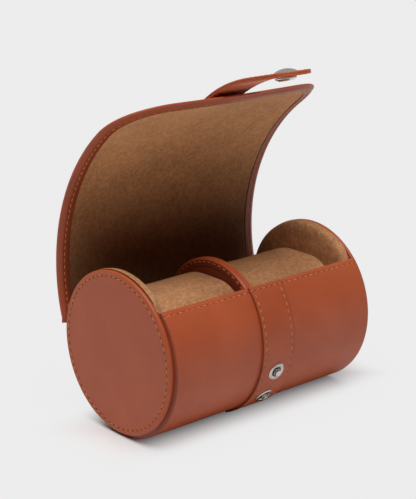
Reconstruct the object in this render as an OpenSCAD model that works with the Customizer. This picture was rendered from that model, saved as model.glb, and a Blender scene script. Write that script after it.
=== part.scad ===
// Cylindrical watch travel case for two watches: a padded leather trough between two end
// discs, a flexible lid that wraps over it, and a strap that snaps onto two press studs.
// X runs along the case, +Z is up, and the strap and studs face -Y.
// The origin is at the middle of the flat that the case rests on.

/* [Case] */
// Overall length over the faces of the two end discs
case_len = 154.5; // [130:0.5:190]
// Outer radius of the trough's leather
wall_r = 50.5; // [48:0.5:56]
// Depth of the flat pressed into the underside
base_flat = 0.8; // [0.5:0.1:1.2]
// Height angle of the trough's front edge, above level with the axis
front_edge_deg = 42.8; // [38:0.2:46]
// Height angle of the lid's crease at the back, above level with the axis
hinge_deg = 8; // [4:1:12]

/* [Trough wall] */
// Thickness of the outer leather
wall_leather_t = 1.4; // [1:0.1:1.8]
// Thickness of the stiff board
wall_board_t = 1.6; // [1.2:0.1:2]
// Thickness of the suede lining
wall_lining_t = 1; // [0.6:0.1:1.4]
// Width of the leather turned in over the front edge
wall_hem_w = 8; // [5:0.5:12]

/* [End discs] */
// Radius of the end discs
disc_r = 48; // [46:0.5:48]
// Thickness of the leather end discs
disc_t = 2.6; // [2.4:0.1:4]
// Radius of the rounding on the disc's rim
disc_round = 1; // [0.6:0.1:1.1]
// Distance of the stitch channel from the disc's rim
disc_stitch_inset = 3.2; // [2.8:0.1:8]
// Thickness of the end boards
end_board_t = 1.5; // [1:0.1:2.5]
// Thickness of the suede pads inside the ends
end_pad_t = 6; // [4:0.5:8]
// Rounding on the pads' inner rim
end_pad_round = 2.5; // [1:0.5:3.5]

/* [Bands] */
// Width of the leather band and strap round the middle
band_w = 26; // [22:0.5:32]
// Thickness of the band
band_t = 1.4; // [1:0.1:1.6]
// Angle below level at which the front and back bands end under the case
band_end_deg = 68; // [60:1:69]
// Distance of the bands' ends from the trough's front edge and back crease
band_inset = 2.5; // [2.5:0.5:6]

/* [Lid] */
// Thickness of the lid with its lining
lid_t = 3; // [2.6:0.1:3.2]
// Thickness of the lid's outer leather
lid_leather_t = 1.6; // [1.3:0.1:1.8]
// Depth of the suede below the turned edge
lid_lining_drop = 0.2; // [0.1:0.1:0.4]
// Width of the turned leather edge round the lining
lid_hem_w = 6.5; // [4:0.5:9]
// Length of each of the lid's five panels
panel_len = 32.3; // [31.8:0.1:32.8]
// Radius of the lid's crease line at the back
hinge_r = 50.8; // [50.2:0.1:52]
// Direction in which the open lid leaves its crease, above level
lid_lean_deg = 73.5; // [66:0.5:80]
// Bend radius of the open lid at the crease
lid_r_hinge = 100.5; // [90:0.5:115]
// Bend radius of the open lid at its free edge
lid_r_free = 124.5; // [110:0.5:160]
// Radius of the lid's free corners
lid_corner_r = 29; // [20:1:29]

/* [Strap] */
// Thickness of the strap with its lining
strap_t = 2.4; // [2:0.1:2.8]
// Length of the strap's first panel
strap_root_len = 22; // [21:0.5:23]
// Length of the strap's second panel
strap_mid_len = 21.5; // [20:0.5:23]
// Length of the strap's tip panel
strap_tip_len = 36.5; // [34:0.5:40]
// Bend radius of the first panel
strap_root_r = 90; // [80:1:110]
// Bend radius of the second panel
strap_mid_r = 100; // [90:5:150]
// Distance of the strap's first crease from the lid's free edge, along the lid
strap_overlap = 18; // [16:0.5:20]
// Turn of the open strap away from the lid, at its first crease
strap_turn_deg = 9; // [8:0.5:12]
// Distance of the snap from the tip panel's crease
snap_from_crease = 16.5; // [15.5:0.1:17.5]

/* [Snap fasteners] */
// Angle of the upper stud below level with the axis
stud_upper_deg = 18; // [14:0.5:20]
// Angle of the lower stud below level with the axis
stud_lower_deg = 41; // [38:0.5:44]
// Diameter of the stud's base
stud_d = 11; // [9:0.5:12]
// Height of the stud's base above the band
stud_base_h = 0.7; // [0.5:0.1:0.8]
// Diameter of the stud's post
stud_post_d = 4.2; // [3.6:0.1:4.8]
// Height of the stud's post above the band
stud_post_h = 2.3; // [1.8:0.1:2.4]
// Diameter of the rivets that hold the fasteners
rivet_d = 3; // [2.4:0.1:3.4]
// Diameter of the rivets' inner heads
rivet_head_d = 8; // [6:0.5:10]
// Thickness of the rivets' inner heads
rivet_head_t = 0.7; // [0.5:0.1:1]
// Diameter of the domed cap
cap_d = 14; // [12:0.5:16]
// Height of the domed cap
cap_h = 2.2; // [1.6:0.1:3]
// Diameter of the snap's socket
socket_d = 12; // [10:0.5:13]
// Thickness of the snap's socket
socket_t = 2; // [1.8:0.1:2]

/* [Divider] */
// Radius of the divider
divider_r = 43.2; // [40:0.1:44]
// Offset of the divider from the case's middle, towards the right
divider_x = -2.5; // [-4:0.5:4]
// Thickness of the divider's board
divider_board_t = 2; // [1.5:0.1:3]
// Thickness of each suede face on the divider
divider_face_t = 1.5; // [1:0.1:2]
// Thickness of the leather binding round the divider
divider_rim_t = 5.6; // [5.2:0.1:7]
// Depth of the leather binding, towards the middle
divider_rim_w = 5; // [4:0.5:8]

/* [Cushions] */
// Width of a cushion, front to back
cushion_w = 62; // [56:0.5:67]
// Height of a cushion
cushion_h = 57.5; // [54:0.5:66]
// Height of a cushion's top above the axis
cushion_top = 30.5; // [28:0.5:34]
// Corner radius of a cushion's section
cushion_corner = 22; // [16:1:24]
// Rounding of a cushion's end edges
cushion_round = 3; // [2:0.5:4]
// Thickness of a cushion's suede cover
cover_t = 1.4; // [1:0.1:2]

/* [Clearances] */
// Gap between pieces that move against each other
gap = 0.3; // [0.3:0.05:0.4]
// Gap between pieces that are sewn or glued together
seat = 0.05; // [0.02:0.01:0.1]

/* [Hidden] */

$fn = 96;
fine = 360;
tan_leather = [0.62, 0.31, 0.20];
deep_leather = [0.50, 0.24, 0.15];
suede = [0.69, 0.50, 0.34];
board_grey = [0.55, 0.52, 0.47];
foam = [0.86, 0.83, 0.74];
nickel = [0.80, 0.79, 0.76];

axis_h = wall_r - base_flat;
wall_t = wall_leather_t + wall_board_t + wall_lining_t;
inner_r = wall_r - wall_t;
board_r = wall_r - wall_leather_t;
lining_r = board_r - wall_board_t;
band_r = wall_r + band_t;
wall_len = case_len - 2 * disc_t;
reach = 3 * wall_r;

// Angles run from +Y over the top to the front.
front_deg = 180 - front_edge_deg;
edge_deg = front_deg + (wall_t / 2) / (wall_r - wall_t / 2) * 180 / PI;
hem_deg = edge_deg + wall_hem_w / inner_r * 180 / PI;
back_deg = hinge_deg - 1.67 * gap / hinge_r * 180 / PI;

end_in = case_len / 2 - disc_t - end_board_t - end_pad_t;
pad_r = inner_r - seat;
divider_half = divider_rim_t / 2;
function cushion_len(side) = end_in - side * divider_x - divider_half - 2 * gap;
function cushion_x(side) = (divider_x + side * (end_in + divider_half)) / 2;
divider_h = axis_h - (pad_r - divider_r);
lid_half = lid_t / 2;
lid_w = case_len;
hem_line = lid_half - (lid_t - lid_leather_t);
ease = gap / 2;

// Lid: mid-line creases of the open lid, each panel a little straighter than the last.
panels = 5;
function lid_bend(i) = 1 / lid_r_hinge + (1 / lid_r_free - 1 / lid_r_hinge) * i / (panels - 1);
function lid_r(i) = 1 / lid_bend(i);
function lid_dir(i) =
    i == 0 ? lid_lean_deg : lid_dir(i - 1) + panel_len * lid_bend(i - 1) * 180 / PI;
function step_on(p, dir, r, len) =
    let (turn = len / r * 180 / PI)
    p + r * [sin(dir + turn) - sin(dir), cos(dir) - cos(dir + turn)];
function lid_at(i) =
    i == 0 ? [hinge_r * cos(hinge_deg), axis_h + hinge_r * sin(hinge_deg)]
    : step_on(lid_at(i - 1), lid_dir(i - 1), lid_r(i - 1), panel_len);

// Strap: it leaves the outer side of the last panel, short of the lid's free edge.
strap_half = strap_t / 2;
strap_lift = -(lid_half + gap + strap_half);
sewn_len = panel_len - strap_overlap;
sewn_dir = lid_dir(panels - 1) + sewn_len * lid_bend(panels - 1) * 180 / PI;
strap_at_0 = step_on(lid_at(panels - 1), lid_dir(panels - 1), lid_r(panels - 1), sewn_len)
    + strap_lift * [-sin(sewn_dir), cos(sewn_dir)];
strap_dir_0 = sewn_dir - strap_turn_deg;
strap_at_1 = step_on(strap_at_0, strap_dir_0, strap_root_r, strap_root_len);
strap_dir_1 = strap_dir_0 + strap_root_len / strap_root_r * 180 / PI;
strap_at_2 = step_on(strap_at_1, strap_dir_1, strap_mid_r, strap_mid_len);
strap_dir_2 = strap_dir_1 + strap_mid_len / strap_mid_r * 180 / PI;
tip_corner = band_w / 2 - 1;

// Extrudes an outline drawn in the Y-Z plane along X.
module along_x(len, x = 0) {
    translate([x, 0, 0]) rotate([90, 0, 90]) linear_extrude(len, center = true) children();
}

// A wedge from the origin, at most 180 degrees wide.
module wedge(a0, a1, r = reach) {
    steps = 4;
    polygon(concat([[0, 0]], [
        for (k = [0:steps])
            let (a = a0 + (a1 - a0) * k / steps)
            r / cos((a1 - a0) / steps / 2) * [cos(a), sin(a)]
    ]));
}

// A ring about the case's axis, with the flat cut from its underside.
module ring(r_in, r_out) {
    difference() {
        translate([0, axis_h]) circle(r_out, $fn = fine);
        translate([0, axis_h]) circle(r_in, $fn = fine);
        translate([-reach, -reach]) square([2 * reach, reach]);
    }
}

// A ring without the stretch between two angles.
module open_ring(r_in, r_out, a0, a1) {
    difference() {
        ring(r_in, r_out);
        translate([0, axis_h]) wedge(a0, a1);
    }
}

// Only the stretch of a ring between two angles.
module ring_part(r_in, r_out, a0, a1) {
    intersection() {
        ring(r_in, r_out);
        translate([0, axis_h]) wedge(a0, a1);
    }
}

// Turns a piece that points up so that it points outwards, below the front of the case.
module on_front(below_deg, r) {
    translate([0, 0, axis_h]) rotate([90 + below_deg, 0, 0]) translate([0, 0, r]) children();
}

// The bores of both studs through whatever is there.
module stud_bores(d) {
    for (a = [stud_upper_deg, stud_lower_deg])
        on_front(a, inner_r) cylinder(d = d, h = wall_t + 2 * band_t, $fn = 48);
}

// Places a piece at a crease, with +Y along the sheet and +Z towards its inner side.
module at_crease(p, dir) {
    translate([0, p[0], p[1]]) rotate([dir, 0, 0]) children();
}

// Outline of a bent sheet: from s0 to s1 along the bend, and from v0 to v1 towards the
// inner side.
module bent_sheet(r, s0, s1, v0, v1) {
    to_deg = 180 / PI / r;
    translate([0, r]) intersection() {
        difference() {
            circle(r - v0, $fn = fine);
            circle(r - v1, $fn = fine);
        }
        wedge(-90 + s0 * to_deg, -90 + s1 * to_deg, 1.2 * r);
    }
}

// The same with rounded ends.
module bent_bar(r, s0, s1, v0, v1) {
    half = (v1 - v0) / 2;
    bent_sheet(r, s0 + half, s1 - half, v0, v1);
    for (s = [s0 + half, s1 - half])
        translate([0, r]) rotate(s / r * 180 / PI) translate([0, -r + v0 + half])
            circle(half, $fn = 32);
}

// ---- Trough ----

module wall_leather() {
    color(tan_leather) difference() {
        along_x(wall_len) {
            open_ring(board_r, wall_r, back_deg, edge_deg);
            ring_part(inner_r, inner_r + wall_leather_t / 2, edge_deg, hem_deg);
            translate([0, axis_h]) rotate(edge_deg) translate([wall_r - wall_t / 2, 0])
                circle(wall_t / 2, $fn = 48);
        }
        stud_bores(rivet_d + 2 * seat);
    }
}

module wall_board() {
    start = edge_deg + (wall_t / 2 + gap) / lining_r * 180 / PI;
    color(board_grey) difference() {
        along_x(wall_len) open_ring(lining_r, board_r - seat, back_deg, start);
        stud_bores(rivet_d + 2 * seat);
        for (a = [stud_upper_deg, stud_lower_deg])
            on_front(a, inner_r)
                cylinder(d = rivet_head_d + 2 * seat, h = lining_r + rivet_head_t + seat - inner_r);
    }
}

module wall_lining() {
    stop = hem_deg + gap / inner_r * 180 / PI;
    color(suede) along_x(wall_len) open_ring(inner_r, lining_r - seat, back_deg, stop);
}

module front_band() {
    start = front_deg + band_inset / wall_r * 180 / PI;
    color(deep_leather) difference() {
        along_x(band_w) ring_part(wall_r + seat, band_r, start, 180 + band_end_deg);
        stud_bores(rivet_d + 2 * seat);
    }
}

module back_band() {
    stop = hinge_deg - band_inset / wall_r * 180 / PI;
    color(deep_leather)
        along_x(band_w) ring_part(wall_r + seat, band_r, -band_end_deg, stop);
}

// ---- Ends ----

// A leather disc with a rounded rim and a shallow channel for its stitches.
module end_disc() {
    channel_r = disc_r - disc_stitch_inset;
    channel_w = 0.8;
    channel_d = 0.3;
    difference() {
        rotate_extrude($fn = fine) {
            square([disc_r - disc_round, disc_t]);
            translate([0, disc_round]) square([disc_r, disc_t - 2 * disc_round]);
            for (z = [disc_round, disc_t - disc_round])
                translate([disc_r - disc_round, z]) circle(disc_round, $fn = 32);
        }
        translate([0, 0, disc_t - channel_d]) difference() {
            cylinder(r = channel_r + channel_w / 2, h = 1, $fn = fine);
            translate([0, 0, -1]) cylinder(r = channel_r - channel_w / 2, h = 3, $fn = fine);
        }
    }
}

// A suede-covered pad whose inner rim is rounded.
module end_pad() {
    rotate_extrude($fn = fine) {
        square([pad_r - end_pad_round, end_pad_t - seat]);
        square([pad_r, end_pad_t - seat - end_pad_round]);
        translate([pad_r - end_pad_round, end_pad_t - seat - end_pad_round])
            circle(end_pad_round, $fn = 48);
    }
}

// Stands a disc on the axis: side is 1 for the right end and -1 for the left.
module facing(side, x) {
    translate([side * x, 0, axis_h]) rotate([0, 90 * side, 0]) children();
}

module end_disc_at(side) {
    color(tan_leather) facing(side, case_len / 2 - disc_t) end_disc();
}

module end_board_at(side) {
    color(board_grey) facing(side, case_len / 2 - disc_t - end_board_t)
        cylinder(r = pad_r, h = end_board_t - seat, $fn = fine);
}

module end_pad_at(side) {
    color(suede) facing(-side, -(case_len / 2 - disc_t - end_board_t)) end_pad();
}

// ---- Studs ----

// A press stud: a ringed base that sits on the band, a necked post and a rivet behind.
module stud(below_deg) {
    ring_r = stud_d / 2;
    post_r = stud_post_d / 2;
    neck_r = post_r - 0.35;
    color(nickel) {
        difference() {
            on_front(below_deg, band_r) rotate_extrude($fn = 96) polygon([
                [0, -1], [ring_r, -1], [ring_r, 0.25], [ring_r - 0.5, stud_base_h],
                [ring_r - 1.5, stud_base_h], [ring_r - 1.9, 0.35], [post_r + 0.7, 0.35],
                [post_r + 0.3, 0.6], [neck_r, 0.7], [neck_r, stud_post_h - 1.1],
                [post_r, stud_post_h - 0.8], [post_r, stud_post_h - 0.4],
                [post_r - 0.5, stud_post_h], [0, stud_post_h]
            ]);
            along_x(2 * stud_d) translate([0, axis_h]) circle(band_r + seat, $fn = fine);
        }
        on_front(below_deg, lining_r + rivet_head_t)
            cylinder(d = rivet_d, h = band_r - lining_r - rivet_head_t + 0.4, $fn = 48);
    }
}

module stud_rivets() {
    color(nickel) for (a = [stud_upper_deg, stud_lower_deg])
        on_front(a, lining_r + seat) cylinder(d = rivet_head_d, h = rivet_head_t - seat, $fn = 64);
}

// ---- Divider ----

module divider_disc(r, h) {
    translate([divider_x - h / 2, 0, divider_h]) rotate([0, 90, 0])
        cylinder(r = r, h = h, $fn = fine);
}

module divider_board() {
    color(board_grey) divider_disc(divider_r - divider_rim_w / 2, divider_board_t);
}

module divider_faces() {
    face_r = divider_r - divider_rim_w - seat;
    color(suede) difference() {
        divider_disc(face_r, divider_board_t + 2 * divider_face_t);
        divider_disc(face_r + 1, divider_board_t + 2 * seat);
    }
}

// The leather binding: a ring with rounded outer edges that grips the board's rim.
module divider_rim() {
    fillet = 1.6;
    half = divider_rim_t / 2;
    slot = divider_board_t / 2 + seat;
    slot_r = divider_r - divider_rim_w / 2 + seat;
    color(tan_leather) translate([divider_x, 0, divider_h]) rotate([0, 90, 0]) difference() {
        rotate_extrude($fn = fine) translate([divider_r - divider_rim_w, 0]) {
            translate([0, -half]) square([divider_rim_w - fillet, 2 * half]);
            translate([0, fillet - half]) square([divider_rim_w, 2 * (half - fillet)]);
            for (z = [fillet - half, half - fillet])
                translate([divider_rim_w - fillet, z]) circle(fillet, $fn = 48);
        }
        translate([0, 0, -slot]) cylinder(r = slot_r, h = 2 * slot, $fn = fine);
    }
}

// ---- Cushions ----

// Rounded-square section, grown or shrunk by a margin.
module cushion_section(margin = 0) {
    w = cushion_w + 2 * margin;
    h = cushion_h + 2 * margin;
    c = cushion_corner + margin;
    translate([0, axis_h + cushion_top - cushion_h / 2]) {
        square([w - 2 * c, h], center = true);
        square([w, h - 2 * c], center = true);
        for (y = [-1, 1], z = [-1, 1])
            translate([y * (w / 2 - c), z * (h / 2 - c)]) circle(c, $fn = 96);
    }
}

// The suede cover, with stepped-in ends where the end pieces are sewn on.
module cushion_cover(side) {
    full = cushion_len(side);
    color(suede) difference() {
        union() {
            along_x(full, cushion_x(side)) cushion_section(-cushion_round / 2);
            along_x(full - cushion_round, cushion_x(side)) cushion_section();
        }
        along_x(full - 2 * cover_t - cushion_round, cushion_x(side))
            cushion_section(-cover_t);
    }
}

module cushion_core(side) {
    inside = cushion_len(side) - 2 * cover_t - cushion_round - 2 * seat;
    color(foam) along_x(inside, cushion_x(side))
        cushion_section(-cover_t - seat);
}

// ---- Lid ----

// Flat outline of the last panel, with its rounded free corners, inset by a margin.
module free_outline(margin = 0) {
    w = lid_w - 2 * margin;
    c = lid_corner_r - margin;
    end = panel_len - margin;
    translate([-w / 2, -panel_len]) square([w, panel_len + end - c]);
    translate([-(w / 2 - c), 0]) square([w - 2 * c, end]);
    for (x = [-1, 1])
        translate([x * (w / 2 - c), end - c]) circle(c, $fn = 96);
}

// A panel's thickness from v0 to v1, between its creases. The last panel runs past its free
// edge, and its outline cuts it.
module panel_body(i, v0, v1) {
    over_end = i == panels - 1 ? lid_t : -ease;
    along_x(lid_w + 2) intersection() {
        bent_bar(lid_r(i), ease, panel_len + over_end, -lid_half, lid_half);
        translate([0, lid_r(i)]) difference() {
            circle(lid_r(i) - v0, $fn = fine);
            circle(lid_r(i) - v1, $fn = fine);
        }
    }
}

// Keeps what lies inside a panel's outline, inset by a margin.
module panel_outline(i, margin) {
    intersection() {
        children();
        if (i == panels - 1) {
            turn = panel_len / lid_r(i) * 90 / PI;
            rotate([turn, 0, 0]) translate([0, 0, -panel_len])
                linear_extrude(2 * panel_len) free_outline(margin);
        } else {
            cube([lid_w - 2 * margin, 4 * panel_len, 4 * panel_len], center = true);
        }
    }
}

module lid_leather(i) {
    color(tan_leather) at_crease(lid_at(i), lid_dir(i)) difference() {
        panel_outline(i, 0) panel_body(i, -lid_half - 1, lid_half + 1);
        panel_outline(i, lid_hem_w) panel_body(i, -hem_line, lid_half + 2);
    }
}

module lid_lining(i) {
    color(suede) at_crease(lid_at(i), lid_dir(i)) panel_outline(i, lid_hem_w + seat)
        panel_body(i, -hem_line + seat, lid_half - lid_lining_drop);
}

module lid_band(i) {
    last = i == panels - 1;
    stop = last ? panel_len - strap_overlap - 1.5 * gap : panel_len - 2 * gap;
    color(deep_leather) at_crease(lid_at(i), lid_dir(i))
        along_x(band_w) bent_sheet(lid_r(i), 2 * gap, stop, -lid_half - band_t, -lid_half - seat);
}

// ---- Strap ----

module strap_panel(p, dir, r, len, v0, v1) {
    at_crease(p, dir) along_x(band_w) intersection() {
        bent_bar(r, ease, len - ease, -strap_half, strap_half);
        translate([0, r]) difference() {
            circle(r - v0, $fn = fine);
            circle(r - v1, $fn = fine);
        }
    }
}

// The tip panel is flat, with a rounded end and a bore for the snap.
module tip_panel(v0, v1) {
    start = ease + strap_half;
    narrow = band_w - 2 * tip_corner;
    at_crease(strap_at_2, strap_dir_2) difference() {
        translate([0, 0, v0]) linear_extrude(v1 - v0) {
            translate([-band_w / 2, start])
                square([band_w, strap_tip_len - tip_corner - start]);
            translate([-narrow / 2, start]) square([narrow, strap_tip_len - start]);
            for (x = [-narrow / 2, narrow / 2])
                translate([x, strap_tip_len - tip_corner]) circle(tip_corner, $fn = 96);
        }
        translate([0, snap_from_crease, -strap_t])
            cylinder(d = rivet_d + 2 * seat, h = 2 * strap_t, $fn = 48);
    }
}

module strap_root() {
    color(deep_leather)
        strap_panel(strap_at_0, strap_dir_0, strap_root_r, strap_root_len, -strap_t, 0);
}

module strap_root_lining() {
    color(tan_leather)
        strap_panel(strap_at_0, strap_dir_0, strap_root_r, strap_root_len, seat, strap_t);
}

module strap_mid() {
    color(deep_leather)
        strap_panel(strap_at_1, strap_dir_1, strap_mid_r, strap_mid_len, -strap_t, 0);
}

module strap_mid_lining() {
    color(tan_leather)
        strap_panel(strap_at_1, strap_dir_1, strap_mid_r, strap_mid_len, seat, strap_t);
}

module strap_tip() {
    color(deep_leather) tip_panel(-strap_half, 0);
}

module strap_tip_lining() {
    color(tan_leather) tip_panel(seat, strap_half);
}

// The domed cap and the rivet that passes through the strap into the socket.
module snap_cap() {
    dome_r = (pow(cap_d / 2, 2) + pow(cap_h, 2)) / (2 * cap_h);
    color(nickel) at_crease(strap_at_2, strap_dir_2)
        translate([0, snap_from_crease, -strap_half - seat]) {
            rotate([180, 0, 0]) rotate_extrude($fn = 96) intersection() {
                square([cap_d / 2, cap_h]);
                translate([0, cap_h - dome_r]) circle(dome_r, $fn = fine);
            }
            cylinder(d = rivet_d, h = strap_t + 2 * seat, $fn = 48);
        }
}

module snap_socket() {
    bore_r = stud_post_d / 2 + gap;
    floor_t = socket_t - (stud_post_h - stud_base_h);
    color(nickel) at_crease(strap_at_2, strap_dir_2)
        translate([0, snap_from_crease, strap_half + seat]) difference() {
            rotate_extrude($fn = 96) polygon([
                [0, 0], [socket_d / 2 - 0.3, 0], [socket_d / 2, 0.4],
                [socket_d / 2, 0.9], [socket_d / 2 - 1.2, socket_t - 0.4],
                [bore_r + 1.6, socket_t], [0, socket_t]
            ]);
            translate([0, 0, floor_t]) cylinder(r = bore_r, h = socket_t, $fn = 48);
        }
}

wall_leather();
wall_board();
wall_lining();
front_band();
back_band();
end_disc_at(-1);  // end_disc_left
end_disc_at(1);  // end_disc_right
end_board_at(-1);  // end_board_left
end_board_at(1);  // end_board_right
end_pad_at(-1);  // end_pad_left
end_pad_at(1);  // end_pad_right
stud(stud_upper_deg);  // stud_upper
stud(stud_lower_deg);  // stud_lower
stud_rivets();
divider_board();
divider_faces();
divider_rim();
cushion_cover(-1);  // cushion_cover_left
cushion_core(-1);  // cushion_core_left
cushion_cover(1);  // cushion_cover_right
cushion_core(1);  // cushion_core_right
lid_leather(0);  // lid_leather_1
lid_leather(1);  // lid_leather_2
lid_leather(2);  // lid_leather_3
lid_leather(3);  // lid_leather_4
lid_leather(4);  // lid_leather_5
lid_lining(0);  // lid_lining_1
lid_lining(1);  // lid_lining_2
lid_lining(2);  // lid_lining_3
lid_lining(3);  // lid_lining_4
lid_lining(4);  // lid_lining_5
lid_band(0);  // lid_band_1
lid_band(1);  // lid_band_2
lid_band(2);  // lid_band_3
lid_band(3);  // lid_band_4
lid_band(4);  // lid_band_5
strap_root();
strap_root_lining();
strap_mid();
strap_mid_lining();
strap_tip();
strap_tip_lining();
snap_cap();
snap_socket();
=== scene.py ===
"""Cylindrical leather watch case: the looks of its leather, suede, stitching and snaps.

Lengths are in millimetres until a mesh is made. X runs along the case, +Z is up, -Y is the front.
"""
import math

import bpy
import numpy as np
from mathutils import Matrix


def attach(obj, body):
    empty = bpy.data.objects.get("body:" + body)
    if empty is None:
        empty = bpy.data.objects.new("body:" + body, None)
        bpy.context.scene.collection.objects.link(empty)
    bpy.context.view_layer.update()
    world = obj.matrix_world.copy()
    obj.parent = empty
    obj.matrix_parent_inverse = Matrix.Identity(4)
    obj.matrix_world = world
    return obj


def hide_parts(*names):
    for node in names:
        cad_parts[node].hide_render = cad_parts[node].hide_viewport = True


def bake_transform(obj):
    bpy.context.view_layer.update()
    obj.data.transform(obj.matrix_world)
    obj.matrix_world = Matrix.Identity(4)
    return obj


MM = 0.001
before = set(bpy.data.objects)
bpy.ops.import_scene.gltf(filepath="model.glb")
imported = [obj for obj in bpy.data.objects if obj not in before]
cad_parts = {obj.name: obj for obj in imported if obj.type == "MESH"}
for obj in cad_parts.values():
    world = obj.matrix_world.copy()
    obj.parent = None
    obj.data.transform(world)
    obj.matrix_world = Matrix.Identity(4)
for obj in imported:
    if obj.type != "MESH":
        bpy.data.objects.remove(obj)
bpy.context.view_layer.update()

# ---- Sizes ----
# Case: the axis's height, half its length, the discs and the wall. Angles run from +Y over the top.
AXIS_H = 49.7
CASE_HALF = 77.25
DISC_T = 2.6
DISC_R = 48.0
DISC_ROW_R = DISC_R - 3.2
WALL_HALF = CASE_HALF - DISC_T
WALL_R = 50.5
WALL_T = 4.0
LEATHER_T = 1.4
INNER_R = 46.5
SUEDE_T = 0.95
FRONT_DEG = 137.2
EDGE_HEM = 8.0
EDGE_ROW = 3.4
# Lid: its crease, its panels, how it bends, its half thickness, corners, lean and hem.
HINGE_DEG = 8.0
HINGE_R = 50.8
WALL_LEAN_DEG = 98.0
LEAN_DEG = 73.5
PANEL = 32.3
PANELS = 5
LID_END = PANEL * PANELS
BEND_AT_HINGE = 1 / 100.5
BEND_AT_EDGE = 1 / 124.5
LID_HALF_T = 1.5
LID_CORNER = 32.0
LID_TWIST = 2.8
LID_TWIST_RIGHT = 0.35
LID_RIGHT = 0.98
HEM_W = 7.5
HEM_ROW = 4.2
BEHIND_SUEDE = 0.1
# Band and strap: the strap's parts are (length, bend radius).
BAND_W = 26.0
FRONT_BAND_W = 24.4
BAND_T = 1.4
BAND_ROW = 2.3
BAND_END_DEG = 68
STRAP_T = 2.4
STRAP_START = LID_END - 18.0
STRAP_LIFT = 3.2
STRAP_TURN_DEG = 9.0
STRAP_PARTS = [(22.0, 90.0), (21.5, 100.0), (30.0, 1e6)]
TIP_CORNER = BAND_W / 2 - 1.0
# Inside: end pads, divider and cushions.
END_BOARD_T = 1.5
PAD_BASE_X = WALL_HALF - END_BOARD_T
PAD_T = 6.0
PAD_FACE_X = PAD_BASE_X - PAD_T
PAD_R = 46.45
DIVIDER_HALF = 2.8
DIVIDER_R = 43.2
DIVIDER_X = -2.5
DIVIDER_H = AXIS_H - (PAD_R - DIVIDER_R)
DIVIDER_RIM_W = 5.0
DIVIDER_ROW_R = DIVIDER_R - 2.2
CUSHION_W = 62.0
CUSHION_H = 57.5
CUSHION_TOP = 30.5
CUSHION_CORNER = 22.0
CUSHION_DOME = 0.5
# Thread: the stitches' pitch, their thickness, and how far their middles lie below each face.
STITCH = 4.3
THREAD_T = 0.66
SUNK = 0.16
BAND_SUNK = 0.26
STRAP_SUNK = 0.28


# ---- Finishes ----
def linear(r, g, b):
    """A screen colour from 0 to 255 as the linear colour that a shader takes."""
    c = np.array([r, g, b]) / 255
    return (*np.where(c > 0.04045, ((c + 0.055) / 1.055) ** 2.4, c / 12.92), 1.0)


class Finish:
    """A node material on Object coordinates, with one Principled shader."""

    def __init__(self, name, rough, **sockets):
        self.made = bpy.data.materials.new(name)
        self.made.use_nodes = True
        self.tree = self.made.node_tree
        self.shader = self.tree.nodes["Principled BSDF"]
        self.shader.inputs["Roughness"].default_value = rough
        for socket, value in sockets.items():
            self.shader.inputs[socket.replace("_", " ")].default_value = value
        self.place = self.node("ShaderNodeTexCoord").outputs["Object"]

    def node(self, kind, **settings):
        made = self.tree.nodes.new(kind)
        for name, value in settings.items():
            if name in made.inputs:
                made.inputs[name].default_value = value
            else:
                setattr(made, name, value)
        return made

    def link(self, a, b):
        self.tree.links.new(a, b)

    def noise(self, scale, detail=2.0, rough=0.5):
        made = self.node("ShaderNodeTexNoise", Scale=scale, Detail=detail, Roughness=rough)
        self.link(self.place, made.inputs["Vector"])
        return made.outputs["Fac"]

    def cells(self, scale):
        made = self.node("ShaderNodeTexVoronoi", Scale=scale)
        self.link(self.place, made.inputs["Vector"])
        return made.outputs["Distance"]

    def mixed(self, a, b, share):
        """share of b and the rest of a."""
        made = self.node("ShaderNodeMix", data_type="FLOAT")
        made.inputs[0].default_value = share
        self.link(a, made.inputs[2])
        self.link(b, made.inputs[3])
        return made.outputs[0]

    def tones(self, value, stops):
        """Colours the shader by a ramp whose stops are (place, colour)."""
        made = self.node("ShaderNodeValToRGB")
        ramp = made.color_ramp
        while len(ramp.elements) < len(stops):
            ramp.elements.new(0.5)
        for element, (at, colour) in zip(ramp.elements, stops):
            element.position = at
            element.color = colour
        self.link(value, made.inputs["Fac"])
        self.link(made.outputs["Color"], self.shader.inputs["Base Color"])

    def painted_shade_and_dye(self, deep):
        """Deepens the colour by the mesh's own value of edge paint and painted shade."""
        dye_and_painted_shade = self.node("ShaderNodeAttribute", attribute_name="dye_and_painted_shade")
        made = self.node("ShaderNodeMix", data_type="RGBA")
        made.inputs[7].default_value = deep
        colour = self.shader.inputs["Base Color"].links[0].from_socket
        self.link(dye_and_painted_shade.outputs["Fac"], made.inputs[0])
        self.link(colour, made.inputs[6])
        self.link(made.outputs[2], self.shader.inputs["Base Color"])

    def gloss(self, value, low, high):
        """Sets the roughness, from low to high."""
        made = self.node("ShaderNodeMapRange")
        made.inputs["To Min"].default_value = low
        made.inputs["To Max"].default_value = high
        self.link(value, made.inputs["Value"])
        self.link(made.outputs["Result"], self.shader.inputs["Roughness"])

    def relief(self, value, depth, strength):
        """A grain that stands depth metres high."""
        made = self.node("ShaderNodeBump", Strength=strength, Distance=depth)
        self.link(value, made.inputs["Height"])
        self.link(made.outputs["Normal"], self.shader.inputs["Normal"])


def leather(name, dark, light, rough=0.4, grain=0.3, specular=0.36):
    """Smooth dyed hide: slow mottling, fine pores and a low pebbled grain."""
    f = Finish(name, rough, Specular_IOR_Level=specular)
    mottle = f.noise(38, 4, 0.6)
    pores = f.noise(1500, 3, 0.6)
    f.tones(f.mixed(mottle, pores, 0.28), [(0.3, linear(*dark)), (0.72, linear(*light))])
    # The deep colour stands for edge paint, and for painted shade in grooves, channels and the hem.
    f.painted_shade_and_dye(linear(104, 40, 22))
    f.gloss(f.mixed(f.noise(160, 3), pores, 0.4), rough - 0.08, rough + 0.1)
    f.relief(f.mixed(f.cells(1150), f.noise(2600, 2), 0.45), 0.00012, grain)
    return f.made


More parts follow.
